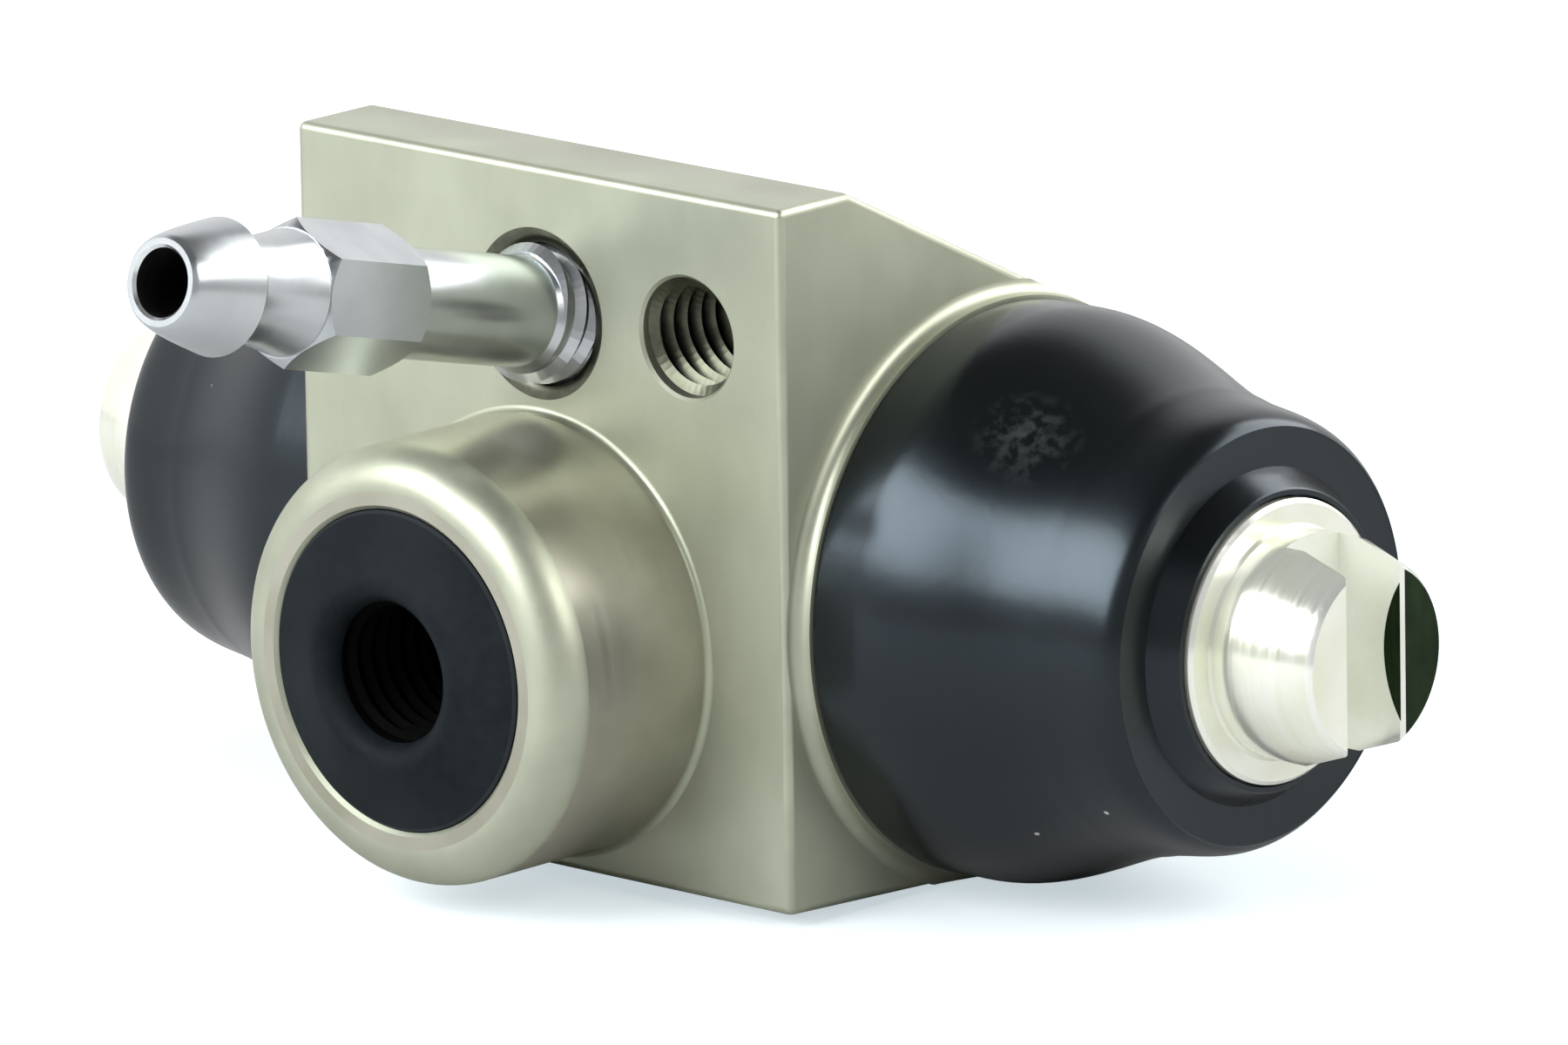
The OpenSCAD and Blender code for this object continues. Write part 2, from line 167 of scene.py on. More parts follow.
def arc(centre, radius, first, last, steps):
    """Points of an arc in the plane of a profile, angles in degrees."""
    points = []
    for i in range(steps + 1):
        a = math.radians(first + (last - first) * i / steps)
        points.append((centre[0] + radius * math.cos(a), centre[1] + radius * math.sin(a)))
    return points


def touch(point, centre, radius, turn):
    """Angle at which a line from a point touches a circle."""
    du, dv = point[0] - centre[0], point[1] - centre[1]
    return math.degrees(math.atan2(dv, du) + turn * math.acos(radius / math.hypot(du, dv)))


def linked(name, mesh, finishes):
    """A new object of the scene with these finishes in its slots."""
    piece = bpy.data.objects.new(name, mesh)
    bpy.context.scene.collection.objects.link(piece)
    for finish in finishes:
        mesh.materials.append(finish)
    return piece


def prism(name, outline, axis, length, finishes):
    """Extrudes an outline in mm along local Z, centred on the axis."""
    shape = bmesh.new()
    ends = []
    for along in (-length / 2, length / 2):
        ends.append([shape.verts.new(axis @ (Vector((u, v, along)) * MM)) for u, v in outline])
    shape.faces.new(ends[0])
    shape.faces.new(ends[1])
    for i in range(len(outline)):
        j = (i + 1) % len(outline)
        shape.faces.new([ends[0][i], ends[0][j], ends[1][j], ends[1][i]])
    bmesh.ops.recalc_face_normals(shape, faces=shape.faces)
    mesh = bpy.data.meshes.new(name)
    shape.to_mesh(mesh)
    shape.free()
    return linked(name, mesh, finishes)


def made_plain(piece):
    """Turns what the modifiers give into the piece's own mesh."""
    graph = bpy.context.evaluated_depsgraph_get()
    mesh = bpy.data.meshes.new_from_object(piece.evaluated_get(graph))
    piece.modifiers.clear()
    piece.data = mesh
    mesh.name = piece.name


def bevelled(piece, width, segments):
    """Rounds the sharp edges, in the bright finish."""
    modifier = piece.modifiers.new("edges", "BEVEL")
    modifier.width = width * MM
    modifier.segments = segments
    modifier.limit_method = "ANGLE"
    modifier.angle_limit = math.radians(30)
    modifier.material = BRIGHT
    made_plain(piece)


body_length, body_top, back_r = 32.4, 23.4, 14.525
front_low, top_back, bore_centre = (0, -11.85), (5, body_top), (BORE_Y, BORE_Z)
outline = [front_low]
outline += arc(
    bore_centre, back_r, touch(front_low, bore_centre, back_r, 1),
    touch(top_back, bore_centre, back_r, -1), 72,
)
outline += [top_back, (0, body_top)]
# The outline lies in Y and Z and runs along X
along_x = Matrix(((0, 0, 1, 0), (1, 0, 0, 0), (0, 1, 0, 0), (0, 0, 0, 1)))
body = prism("body", outline, along_x, body_length, body_finishes)
bevelled(body, width=0.4, segments=4)


def turned(name, profile, axis, finishes, bright=(), third=(), slot=0, closed=False, segments=128):
    """Turns a profile of (distance, radius) in mm round an axis. The profile's steps listed in
    bright and third take the second and third finish. A closed profile makes a ring, an open
    one ends on the axis."""
    shape = bmesh.new()
    rings = []
    flat_first = not closed and profile[0][0] == profile[1][0]
    flat_last = not closed and profile[-1][0] == profile[-2][0]
    for along, radius in profile[flat_first:len(profile) - flat_last]:
        if radius == 0:
            rings.append([shape.verts.new(axis @ Vector((0, 0, along * MM)))])
            continue
        ring = []
        for i in range(segments):
            a = 2 * math.pi * i / segments
            point = Vector((radius * math.cos(a), radius * math.sin(a), along)) * MM
            ring.append(shape.verts.new(axis @ point))
        rings.append(ring)
    if flat_first:
        shape.faces.new(rings[0]).material_index = slot
    if flat_last:
        shape.faces.new(rings[-1]).material_index = slot
    pairs = list(zip(rings, rings[1:]))
    if closed:
        pairs.append((rings[-1], rings[0]))
    slots = {step: BRIGHT for step in bright} | {step: THIRD for step in third}
    for step, (low, high) in enumerate(pairs, int(flat_first)):
        for i in range(segments):
            j = (i + 1) % segments
            corners = [low[i % len(low)], low[j % len(low)], high[j % len(high)], high[i % len(high)]]
            corners = list(dict.fromkeys(corners))
            if len(corners) > 2:
                face = shape.faces.new(corners)
                face.material_index = slots.get(step, slot)
    bmesh.ops.recalc_face_normals(shape, faces=shape.faces)
    mesh = bpy.data.meshes.new(name)
    shape.to_mesh(mesh)
    shape.free()
    return linked(name, mesh, finishes)


def joined(piece, tool, how):
    """Adds, cuts or keeps the common part with a tool, which is then removed."""
    modifier = piece.modifiers.new(how, "BOOLEAN")
    modifier.operation = how
    modifier.solver = "MANIFOLD"
    modifier.object = tool
    made_plain(piece)
    bpy.data.objects.remove(tool)


# Boot seats: a filleted collar cut by the block's outline, and a grooved spigot
fillet_steps, long_block_length = range(3, 10), 36
for side in (1, -1):
    flare = [(15.2, 0), (15.2, 13), (16.19, 13), (16.19, 15.125)]
    flare += arc((16.9, 15.125), 0.7, 180, 270, 6)
    flare += [(17, 14.425), (17, 0)]
    collar = turned(
        "collar", [(side * x, r) for x, r in flare], BORE_AXIS, body_finishes, bright=fillet_steps
    )
    long_block = prism("long_block", outline, along_x, long_block_length, body_finishes)
    joined(collar, long_block, "INTERSECT")
    joined(body, collar, "UNION")
half_spigot = [
    (20.6, 12.2), (20.4, 12.425), (19.5, 12.425), (19.5, 11.725), (18.1, 11.725), (18.1, 12.425),
]
spigot = [(20.6, 0)] + half_spigot + [(-x, r) for x, r in reversed(half_spigot)] + [(-20.6, 0)]
joined(body, turned("spigot", spigot, BORE_AXIS, body_finishes), "UNION")

# Boss: turned, with a small fillet at its foot and a large rounding at its end
foot = arc((0.35, 11.35), 0.35, 180, 270, 4)
boss = [(-1, 0), (-1, 11.35), (-0.01, 11.35)] + foot + arc((8.5, 8.9), 2.1, 90, 0, 12) + [(10.6, 0)]
side_step = 7
round_steps = [step for step in range(1, 22) if step != side_step]
joined(
    body,
    turned("boss", boss, BOSS_AXIS, body_finishes, bright=round_steps, slot=TURNED),
    "UNION",
)

# Bore, inlet with its recess and passage, bolt hole, bleed port and its mouth. A countersink is the
# first step of its hole, and the lit start of the bolt hole is the second. Deeper in, the walls are
# painted near black as shade, and the mouth is painted dark as shade.
COUNTERSINK, LIT_START = (1,), (2,)
bore = [(-21.6, 0), (-21.6, 9.525), (21.6, 9.525), (21.6, 0)]
joined(body, turned("bore", bore, BORE_AXIS, body_finishes, slot=HOLE_SHADE), "DIFFERENCE")
inlet = [
    (11.6, 0), (11.6, 9.25), (10.4, 8.05), (9.25, 8.05), (9.25, 5), (-1.9, 5),
    (-3.75, 1.3), (-15.2, 1.3), (-15.2, 0),
]
joined(
    body,
    turned("inlet", inlet, BOSS_AXIS, body_finishes, bright=COUNTERSINK, slot=HOLE_SHADE),
    "DIFFERENCE",
)
bolt_hole = [(1, 0), (1, 4.15), (-0.15, 3), (-1.4, 3), (-10.5, 3), (-12.23, 0)]
joined(
    body,
    turned(
        "bolt_hole", bolt_hole, BOLT_AXIS, body_finishes,
        bright=COUNTERSINK, third=LIT_START, slot=HOLE_SHADE,
    ),
    "DIFFERENCE",
)
bleed_port = [(7, 0), (7, 3.5), (-8, 3.5), (-10.2, 1.3), (-18.3, 1.3), (-18.3, 0)]
joined(body, turned("bleed_port", bleed_port, BLEED_AXIS, body_finishes, slot=HOLE_SHADE), "DIFFERENCE")
mouth = [(0.5, 0), (0.5, 5.3), (-2.15, 0)]
# The mouth round the bleed screw is painted dark as shade
joined(body, turned("mouth", mouth, BLEED_PLACE @ BOSS_AXIS, body_finishes, slot=THREAD_SHADE), "DIFFERENCE")


def smoothed(piece, angle):
    """Shades the piece smooth up to an angle. Faces that look squarely to an end, to the front
    or upwards stay flat."""
    nearly_one = 0.999999
    for face in piece.data.polygons:
        face.use_smooth = max(abs(face.normal.x), -face.normal.y, face.normal.z) < nearly_one
    piece.data.set_sharp_from_angle(angle=math.radians(angle))
    modifier = piece.modifiers.new("flats", "WEIGHTED_NORMAL")
    modifier.keep_sharp = True
    made_plain(piece)


smoothed(body, 35)
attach(body, "housing")
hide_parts("cylinder_body")

# Thread of the bolt hole: tapped in the body for the bolt that comes through the plate.
# The ridge is one helix of a diamond section, whose outer half lies in the wall, in a dark colour that
# is painted shade.


def coil_tree():
    """Sweeps a round or diamond section along a helix, with named sizes in metres."""
    tree = bpy.data.node_groups.new("coil", "GeometryNodeTree")
    tree.interface.new_socket("Geometry", in_out="INPUT", socket_type="NodeSocketGeometry")
    for label, kind in (
        ("Radius", "NodeSocketFloat"), ("Length", "NodeSocketFloat"), ("Turns", "NodeSocketFloat"),
        ("Steps", "NodeSocketInt"), ("Sides", "NodeSocketInt"), ("Section", "NodeSocketVector"),
        ("Taper", "NodeSocketFloat"), ("Turn", "NodeSocketVector"), ("Place", "NodeSocketVector"),
        ("Smooth", "NodeSocketBool"), ("Finish", "NodeSocketMaterial"),
    ):
        tree.interface.new_socket(label, in_out="INPUT", socket_type=kind)
    tree.interface.new_socket("Geometry", in_out="OUTPUT", socket_type="NodeSocketGeometry")
    wanted, given = tree.nodes.new("NodeGroupInput"), tree.nodes.new("NodeGroupOutput")
    helix = tree.nodes.new("GeometryNodeCurveSpiral")
    upright = tree.nodes.new("GeometryNodeSetCurveNormal")
    upright.mode = "Z_UP"
    ring = tree.nodes.new("GeometryNodeCurvePrimitiveCircle")
    ring.inputs["Radius"].default_value = 1
    section = tree.nodes.new("GeometryNodeTransform")
    along = tree.nodes.new("GeometryNodeSplineParameter")
    from_ends = tree.nodes.new("ShaderNodeMath")
    from_ends.operation = "PINGPONG"
    from_ends.inputs[1].default_value = 0.5
    taper = tree.nodes.new("ShaderNodeMapRange")
    sweep = tree.nodes.new("GeometryNodeCurveToMesh")
    sweep.inputs["Fill Caps"].default_value = True
    shade = tree.nodes.new("GeometryNodeSetShadeSmooth")
    put = tree.nodes.new("GeometryNodeTransform")
    real = tree.nodes.new("GeometryNodeRealizeInstances")
    dress = tree.nodes.new("GeometryNodeSetMaterial")
    for label, node, socket in (
        ("Radius", helix, "Start Radius"), ("Radius", helix, "End Radius"), ("Length", helix, "Height"),
        ("Turns", helix, "Rotations"), ("Steps", helix, "Resolution"), ("Sides", ring, "Resolution"),
        ("Section", section, "Scale"), ("Taper", taper, "From Max"), ("Smooth", shade, "Shade Smooth"),
        ("Turn", put, "Rotation"), ("Place", put, "Translation"), ("Finish", dress, "Material"),
    ):
        tree.links.new(wanted.outputs[label], node.inputs[socket])
    tree.links.new(helix.outputs["Curve"], upright.inputs["Curve"])
    tree.links.new(ring.outputs["Curve"], section.inputs["Geometry"])
    tree.links.new(upright.outputs["Curve"], sweep.inputs["Curve"])
    tree.links.new(section.outputs["Geometry"], sweep.inputs["Profile Curve"])
    tree.links.new(along.outputs["Factor"], from_ends.inputs[0])
    tree.links.new(from_ends.outputs["Value"], taper.inputs["Value"])
    tree.links.new(taper.outputs["Result"], sweep.inputs["Scale"])
    tree.links.new(sweep.outputs["Mesh"], shade.inputs["Geometry"])
    tree.links.new(shade.outputs["Geometry"], put.inputs["Geometry"])
    tree.links.new(put.outputs["Geometry"], real.inputs["Geometry"])
    tree.links.new(real.outputs["Geometry"], dress.inputs["Geometry"])
    tree.links.new(dress.outputs["Geometry"], given.inputs["Geometry"])
    return tree


coil = coil_tree()


def coiled(
    name, axis, radius, start, end, turns, section, finish,
    sides=4, taper=0.02, steps=48, smooth=False,
):
    """A helix round an axis from start to end, in mm, as a plain mesh."""
    piece = linked(name, bpy.data.meshes.new(name), ())
    modifier = piece.modifiers.new("coil", "NODES")
    modifier.node_group = coil
    sizes = {
        "Radius": radius * MM, "Length": (end - start) * MM, "Turns": float(turns), "Steps": steps,
        "Sides": sides, "Section": (section[0] * MM, section[1] * MM, 1.0), "Taper": taper,
        "Turn": tuple(axis.to_euler()), "Place": tuple(axis @ Vector((0, 0, start * MM))),
        "Smooth": smooth, "Finish": finish,
    }
    for socket in coil.interface.items_tree:
        if socket.in_out == "INPUT" and socket.name in sizes:
            modifier[socket.identifier] = sizes[socket.name]
    made_plain(piece)
    shape = bmesh.new()
    shape.from_mesh(piece.data)
    bmesh.ops.recalc_face_normals(shape, faces=shape.faces)
    shape.to_mesh(piece.data)
    shape.free()
    return piece


bolt_thread = coiled("bolt_thread", BOLT_AXIS, 3.02, -10.3, -0.3, 10, (0.5, 0.28), thread_painted_shade)
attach(bolt_thread, "housing")

# Return spring, pressed steel expanders and rubber cups: in the middle of the bore, where the spring
# pushes the cups against the pistons. The spring is made in two halves, one on each side.
spring_steel = grained(
    "spring_steel", light=(0.33, 0.33, 0.33), dark=(0.24, 0.24, 0.25), metallic=0.95,
    roughness=(0.3, 0.42), marks=(0.4, 0.4, 0.4), clouds=(3, 3, 3), depth=0.004,
)
pressed_steel = grained(
    "pressed_steel", light=(0.55, 0.55, 0.53), dark=(0.45, 0.45, 0.43), metallic=0.95,
    roughness=(0.3, 0.45), marks=(1, 1, 1), clouds=(4, 4, 4), depth=0.01,
)
seal_rubber = grained(
    "seal_rubber", light=(0.02, 0.02, 0.021), dark=(0.013, 0.013, 0.014), metallic=0.0,
    roughness=(0.4, 0.55), marks=(0.7, 0.7, 0.7), clouds=(4, 4, 4), depth=0.01,
)
for side, turn in (("left", -1), ("right", 1)):
    # The left half is the right one turned over, so that the coil runs on in the same sense
    half_axis = BORE_AXIS @ Matrix.Rotation(math.radians(90 - 90 * turn), 4, "X")
    half_spring = coiled(
        side + "_half_spring", half_axis, 3.5, 0, 7.55, 2.75, (0.5, 0.5), spring_steel,
        sides=12, taper=0.001, smooth=True,
    )
    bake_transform(half_spring)
    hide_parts("return_spring")
    for node, finish in ((side + "_cup_expander", pressed_steel), (side + "_cup_seal", seal_rubber)):
        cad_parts[node].data.materials.clear()
        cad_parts[node].data.materials.append(finish)

# Pistons: turned from bar, with a head that slides in the bore, a stem through the boot, a
# flange and a slotted tip that takes the web of the brake shoe. Bright zinc plated.
piston_zinc = grained(
    "piston_zinc", light=(0.96, 0.97, 0.9), dark=(0.84, 0.86, 0.7), metallic=0.7,
    roughness=(0.14, 0.24), marks=(0.2, 6, 6), clouds=(3, 5, 5), depth=0.01,
)
piston_edge = grained(
    "piston_edge", light=(0.96, 0.97, 0.92), dark=(0.9, 0.92, 0.83), metallic=0.7,
    roughness=(0.16, 0.26), marks=(0.3, 0.3, 0.3), clouds=(3, 3, 3), depth=0.004,
)
# Painted shade: a dark olive on the bright zinc, for the far land's end face and a thin disc on the
# slot's far wall
piston_painted_shade = grained(
    "piston_painted_shade", light=(0.02, 0.038, 0.015), dark=(0.008, 0.016, 0.006), metallic=0.95,
    roughness=(0.3, 0.4), marks=(0.2, 3, 3), clouds=(2, 2, 4), depth=0.006,
)
LAND_SHADE = THIRD
piston_profile = [
    (11, 0), (11, 9.1), (11.4, 9.475), (19.7, 9.475), (20, 9.2), (20, 6.2), (34, 6.2), (34, 6.9),
    (34.15, 7.05), (35, 7.05), (35.2, 6.85), (35.2, 5.85), (35.35, 5.7), (38.05, 5.7), (40.6, 4.9),
    (40.9, 4.65), (40.9, 0),
]
slot_outline = [
    (36.9, -1.95), (40.7, -1.95), (41.1, -2.35), (42.5, -2.35),
    (42.5, 2.35), (41.1, 2.35), (40.7, 1.95), (36.9, 1.95),
]
chamfers = (1, 3, 7, 9, 14)
for side, turn in (("left", -1), ("right", 1)):
    piston = turned(
        side + "_slotted_piston", [(turn * x, r) for x, r in piston_profile], BORE_AXIS,
        (piston_zinc, piston_edge, piston_painted_shade), bright=chamfers,
    )
    slot_cut = prism(
        "slot_cut", [(turn * x, y) for x, y in slot_outline], BORE_PLACE, 24, (piston_edge,)
    )
    joined(piston, slot_cut, "DIFFERENCE")
    # A disc 0.03 mm deep in the slot's far wall, only to carry the painted shade
    shade_disc_place = Matrix.Translation((turn * 46 * MM, 17.15 * MM, BORE_Z * MM))
    shade_disc_axis = shade_disc_place @ Matrix.Rotation(math.radians(-90), 4, "X")
    shade_disc = [(-0.5, 0), (-0.5, 6.3), (0.03, 6.3), (0.03, 0)]
    joined(piston, turned("shade_disc", shade_disc, shade_disc_axis, (piston_painted_shade,)), "DIFFERENCE")
    # The end face behind the slot takes the painted shade
    for face in piston.data.polygons:
        on_end = abs(face.normal.x) > 0.9 and abs(face.center.x) > 40.8 * MM
        behind_slot = face.center.y > 17.2 * MM
        if on_end and behind_slot:
            face.material_index = LAND_SHADE
    smoothed(piston, 30)
    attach(piston, side + "_piston")
    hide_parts(side + "_piston")

# Dust boots: moulded in black rubber. A thick base grips the groove of the spigot, the domed wall, which
# folds as the piston moves, is turned here as one fixed shape, and the bead closes round the stem behind
# the flange.
boot_rubber = bpy.data.materials.new("boot_rubber")
boot_rubber.use_nodes = True
nodes, links = boot_rubber.node_tree.nodes, boot_rubber.node_tree.links
shader = nodes["Principled BSDF"]
shader.inputs["Specular IOR Level"].default_value = 0.52
shader.inputs["Specular Tint"].default_value = (0.72, 0.88, 1.0, 1)
place = nodes.new("ShaderNodeTexCoord")
skin = nodes.new("ShaderNodeTexNoise")
skin.inputs["Scale"].default_value = 1400
skin.inputs["Detail"].default_value = 4
bloom = nodes.new("ShaderNodeTexNoise")
bloom.inputs["Scale"].default_value = 110
bloom.inputs["Detail"].default_value = 4
specks = nodes.new("ShaderNodeTexVoronoi")
specks.inputs["Scale"].default_value = 420
dust = nodes.new("ShaderNodeMapRange")
dust.inputs["From Min"].default_value = 0.075
dust.inputs["From Max"].default_value = 0.05
rare = nodes.new("ShaderNodeMapRange")
rare.inputs["From Min"].default_value = 0.8
rare.inputs["From Max"].default_value = 0.82
both = nodes.new("ShaderNodeMath")
both.operation = "MULTIPLY"
black = nodes.new("ShaderNodeMix")
black.data_type = "RGBA"
black.inputs[COLOUR_A].default_value = (0.0025, 0.003, 0.003, 1)
black.inputs[COLOUR_B].default_value = (0.005, 0.006, 0.0065, 1)
dusty = nodes.new("ShaderNodeMix")
dusty.data_type = "RGBA"
dusty.inputs[COLOUR_B].default_value = (0.5, 0.5, 0.5, 1)
away = nodes.new("ShaderNodeVectorMath")
away.operation = "DISTANCE"
away.inputs[1].default_value = (25.3 * MM, 7.6 * MM, 12.2 * MM)
near = nodes.new("ShaderNodeMapRange")
near.inputs["From Min"].default_value = 3 * MM
near.inputs["From Max"].default_value = 0.2 * MM
near.inputs["To Max"].default_value = 0.45
worn = nodes.new("ShaderNodeMath")
worn.operation = "MULTIPLY"
spotted = nodes.new("ShaderNodeMapRange")
spotted.inputs["From Min"].default_value = 0.45
spotted.inputs["From Max"].default_value = 0.62
scuffed = nodes.new("ShaderNodeMix")
scuffed.data_type = "RGBA"
scuffed.inputs[COLOUR_B].default_value = (0.07, 0.08, 0.08, 1)
gloss = nodes.new("ShaderNodeMapRange")
gloss.inputs["From Min"].default_value = 0.3
gloss.inputs["From Max"].default_value = 0.7
gloss.inputs["To Min"].default_value = 0.2
gloss.inputs["To Max"].default_value = 0.28
bump = nodes.new("ShaderNodeBump")
bump.inputs["Strength"].default_value = 0.3
bump.inputs["Distance"].default_value = 0.02 * MM
for texture in (skin, bloom, specks):
    links.new(place.outputs["Object"], texture.inputs["Vector"])
links.new(specks.outputs["Distance"], dust.inputs["Value"])
links.new(specks.outputs["Color"], rare.inputs["Value"])
links.new(dust.outputs["Result"], both.inputs[0])
links.new(rare.outputs["Result"], both.inputs[1])
links.new(bloom.outputs["Fac"], black.inputs[0])
links.new(both.outputs["Value"], dusty.inputs[0])
links.new(place.outputs["Object"], away.inputs[0])
links.new(away.outputs["Value"], near.inputs["Value"])
links.new(skin.outputs["Fac"], spotted.inputs["Value"])
links.new(near.outputs["Result"], worn.inputs[0])
links.new(spotted.outputs["Result"], worn.inputs[1])
links.new(worn.outputs["Value"], scuffed.inputs[0])
links.new(black.outputs[COLOUR_OUT], scuffed.inputs[COLOUR_A])
links.new(scuffed.outputs[COLOUR_OUT], dusty.inputs[COLOUR_A])
links.new(dusty.outputs[COLOUR_OUT], shader.inputs["Base Color"])
links.new(bloom.outputs["Fac"], gloss.inputs["Value"])
links.new(gloss.outputs["Result"], shader.inputs["Roughness"])
links.new(skin.outputs["Fac"], bump.inputs["Height"])
links.new(bump.outputs["Normal"], shader.inputs["Normal"])


def curve(a, b, c, d, steps):
    """Points of a smooth curve between a and d with the handles b and c, without a itself."""
    points = []
    for i in range(1, steps + 1):
        t = i / steps
        u = 1 - t
        weights = (u * u * u, 3 * u * u * t, 3 * u * t * t, t * t * t)
        points.append(tuple(sum(w * p[k] for w, p in zip(weights, (a, b, c, d))) for k in (0, 1)))
    return points


boot_profile = [(17.05, 14.1), (17.2, 14.275), (19.65, 14.275)]
boot_profile += curve((19.65, 14.275), (22.767, 14.275), (25.883, 12.069), (29, 11.55), 28)
boot_profile += curve((29, 11.55), (30.933, 11.03), (32.811, 11.25), (33.511, 10.35), 20)
boot_profile += [
    (33.45, 10.25), (33.411, 8.36), (34.7, 7.55), (34.8, 7.45), (34.8, 7.2), (33.95, 7.2), (33.95, 6.35),
    (32.25, 6.35), (32.25, 8.15), (30.55, 9.85),
]
boot_profile += curve((29, 9.85), (25.883, 10.37), (22.767, 12.575), (21.45, 12.575), 12)
boot_profile += [
    (20.6, 12.475), (19.45, 12.475), (19.45, 11.775), (18.15, 11.775), (18.15, 12.475), (17.05, 12.475),
]
for side, turn in (("left", -1), ("right", 1)):
    boot = turned(
        side + "_dust_boot", [(turn * x, r) for x, r in boot_profile], BORE_AXIS, (boot_rubber,),
        closed=True, segments=144,
    )
    smoothed(boot, 40)
    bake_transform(boot)
    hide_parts(side + "_boot")

# Bleed screw: turned steel with a seat cone, a thread, a plain shank, a hexagon for the
# spanner and a barb for the hose, drilled from the barb to a cross hole above the cone.
screw_steel = grained(
    "screw_steel", light=(0.6, 0.63, 0.65), dark=(0.5, 0.525, 0.54), metallic=0.95,
    roughness=(0.25, 0.27), marks=(3, 0.4, 3), clouds=(5, 4, 5), depth=0.0002, turn=-13.5, streaks=0.05,
)
# Painted highlight: a lighter steel for the barb's crest, the hexagon's rounded edges and the
# countersink at the barb's end
screw_edge_highlight = grained(
    "screw_edge_highlight", light=(0.86, 0.88, 0.89), dark=(0.78, 0.8, 0.81), metallic=0.92,
    roughness=(0.18, 0.26), marks=(0.3, 0.3, 0.3), clouds=(3, 3, 3), depth=0.002,
)
# Painted shade: near black for the wall of the drilled hole
drill_painted_shade = grained(
    "drill_painted_shade", light=(0.03, 0.03, 0.03), dark=(0.012, 0.012, 0.013), metallic=0.6,
    roughness=(0.45, 0.55), marks=(0.4, 0.4, 0.4), clouds=(3, 3, 3), depth=0.004,
)
screw_finishes = (screw_steel, screw_edge_highlight, drill_painted_shade)
DRILL_SHADE = THIRD
screw_profile = [
    (-10.1, 0), (-10.1, 1.3), (-8.4, 3), (1.2, 3), (1.6, 2.75), (17.8, 2.75), (18.25, 3.16),
    (20.5, 2.65), (22.2, 2.65), (22.95, 3.3), (23.1, 3.4),
]
screw_profile += curve((23.1, 3.4), (24.0, 3.175), (26.1, 2.7), (26.85, 2.3), 14)
screw_profile += [(27.0, 2.15), (27.0, 0)]
barb_edge = (9,)
screw = turned(
    "drilled_bleed_screw", screw_profile, BLEED_AXIS, screw_finishes, bright=barb_edge, segments=96
)
across_flats, first_corner, hex_middle, hex_length = 6.4, 34.6, 14.75, 7.1
corner = across_flats / math.sqrt(3)
hexagon = []
for i in range(6):
    a = math.radians(first_corner + 60 * i)
    hexagon.append((corner * math.cos(a), corner * math.sin(a)))
hex_axis = BLEED_AXIS @ Matrix.Translation((0, 0, hex_middle * MM))
spanner_hex = prism("spanner_hex", hexagon, hex_axis, hex_length, screw_finishes)
hex_turning = [(11.2, 0), (11.2, 3.15), (11.7, 3.7), (17.8, 3.7), (18.3, 3.2), (18.3, 0)]
joined(spanner_hex, turned("hex_turning", hex_turning, BLEED_AXIS, screw_finishes), "INTERSECT")
bevelled(spanner_hex, width=0.12, segments=2)
joined(screw, spanner_hex, "UNION")
screw_hole = [(27.8, 0), (27.8, 2.65), (26.85, 1.7), (-5, 1.7), (-5, 0)]
joined(
    screw,
    turned(
        "screw_hole", screw_hole, BLEED_AXIS, screw_finishes,
        bright=COUNTERSINK, slot=DRILL_SHADE, segments=64,
    ),
    "DIFFERENCE",
)
cross_axis = BLEED_AXIS @ Matrix.Translation((0, 0, -5 * MM)) @ Matrix.Rotation(math.radians(90), 4, "Y")
cross_hole = [(-3.6, 0), (-3.6, 1.19), (3.6, 1.19), (3.6, 0)]
joined(screw, turned("cross_hole", cross_hole, cross_axis, screw_finishes, segments=48), "DIFFERENCE")
smoothed(screw, 30)
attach(screw, "bleed_screw")
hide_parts("bleed_screw")
screw_thread = coiled("screw_thread", BLEED_AXIS, 2.98, -7.7, 1.3, 9, (0.46, 0.36), screw_steel)
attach(screw_thread, "bleed_screw")

# Inlet plug: moulded in dark plastic and pressed into the inlet, with its rim flush with the
# boss and its end a little domed, to keep dirt out until the brake pipe is fitted. Ribs inside
# its blind hole let it be pulled out.
plug_plastic = grained(
    "plug_plastic", light=(0.015, 0.019, 0.022), dark=(0.009, 0.0115, 0.0135), metallic=0.0,
    roughness=(0.42, 0.58), marks=(0.6, 0.6, 0.6), clouds=(5, 5, 5), depth=0.015,
)
plug_edge = grained(
    "plug_edge", light=(0.03, 0.034, 0.038), dark=(0.02, 0.023, 0.026), metallic=0.0,
    roughness=(0.45, 0.6), marks=(0.6, 0.6, 0.6), clouds=(5, 5, 5), depth=0.01,
)
# Painted shade: near black for the wall of the blind hole and its ribs
plug_hole_painted_shade = grained(
    "plug_hole_painted_shade", light=(0.002, 0.002, 0.002), dark=(0.001, 0.001, 0.001), metallic=0.0,
    roughness=(0.5, 0.65), marks=(0.6, 0.6, 0.6), clouds=(4, 4, 4), depth=0.01,
)
for finish in (plug_plastic, plug_edge, plug_hole_painted_shade):
    finish.node_tree.nodes["Principled BSDF"].inputs["Specular IOR Level"].default_value = 0.04
plug_profile = [
    (1.8, 0), (1.8, 4.6), (2.1, 4.9), (9.3, 4.9), (9.3, 8), (10.45, 8), (10.6, 7.85), (11.5, 5.0),
    (11.6, 4.7), (11.58, 4.4), (11.4, 4.0), (11.1, 3.7), (10.7, 3.52), (10.4, 3.5), (2.8, 3.5), (2.8, 0),
]
rim_edge, hole_steps = (5,), range(12, 16)
plug = turned(
    "ribbed_plug", plug_profile, BOSS_AXIS, (plug_plastic, plug_edge, plug_hole_painted_shade),
    bright=rim_edge, third=hole_steps,
)
smoothed(plug, 35)
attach(plug, "housing")
